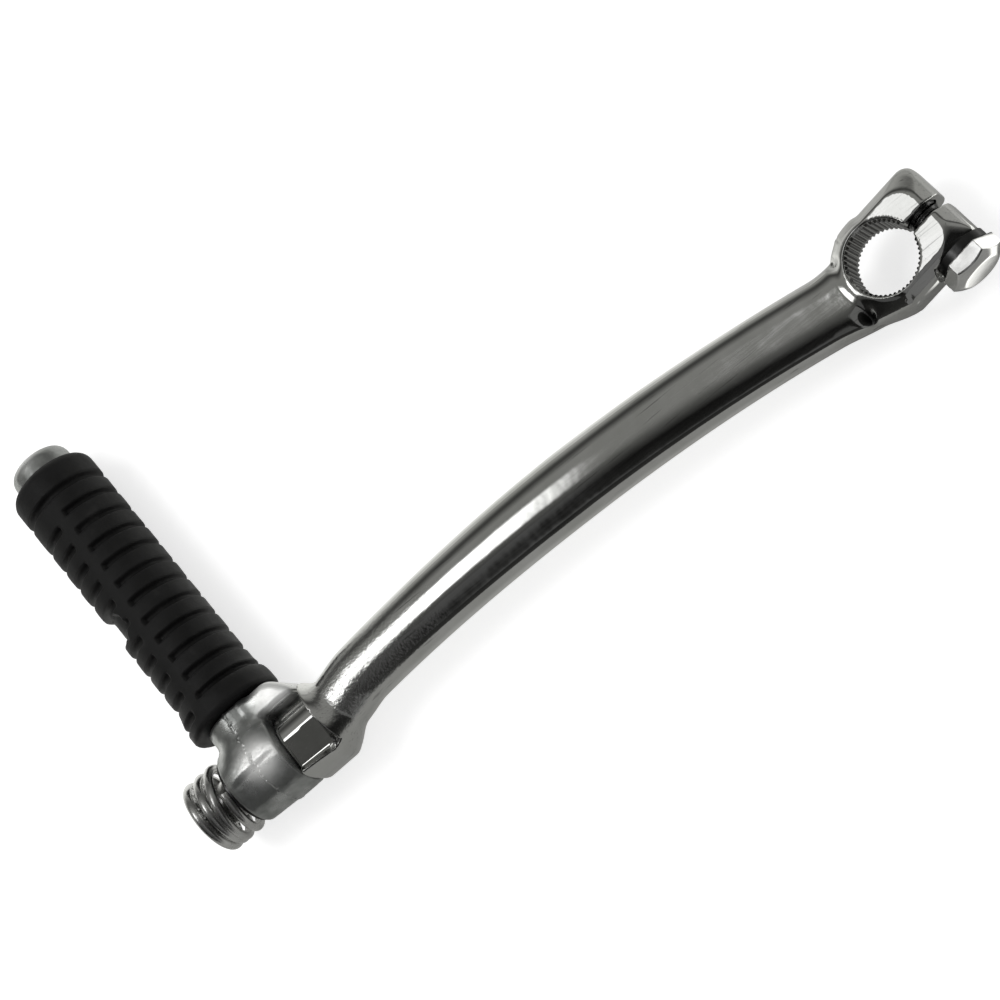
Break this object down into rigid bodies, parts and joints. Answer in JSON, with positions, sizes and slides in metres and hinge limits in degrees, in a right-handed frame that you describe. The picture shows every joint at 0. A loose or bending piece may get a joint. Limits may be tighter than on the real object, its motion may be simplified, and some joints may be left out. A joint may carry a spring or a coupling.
{
  "type": "kick start lever",
  "caption": "Kick start lever: curved chrome arm with a split serrated clamp head, pinch bolt and a spring-loaded fold-in pedal with a grooved rubber grip.",
  "frame": {"origin": "on the axis of the shaft bore, half way through the clamp head", "axes": "+Z along the shaft, away from the engine; -X along the arm towards the pedal; +Y along the folded pedal"},
  "size_m": [0.2288, 0.1137, 0.0248],
  "materials": {
    "chrome_arm": "polished",
    "zinc_bolt": "satin",
    "cast_pedal": "satin",
    "grip_rubber": "matte",
    "spring_steel": "satin"
  },
  "bodies": {
    "lever": {"lever_arm": "chrome_arm", "pinch_bolt": "zinc_bolt", "lock_washer": "zinc_bolt", "pivot_pin": "spring_steel", "thrust_washer": "spring_steel", "coil_spring": "spring_steel", "end_washer": "spring_steel"},
    "pedal": {"pedal_casting": "cast_pedal", "rubber_grip": "grip_rubber"}
  },
  "joints": [
    {"name": "pedal_fold", "type": "hinge", "parent": "lever", "child": "pedal", "pos_m": [-0.1775, 0, 0], "axis": [0.9994, 0.0349, 0], "range_deg": [0, 90]}
  ]
}
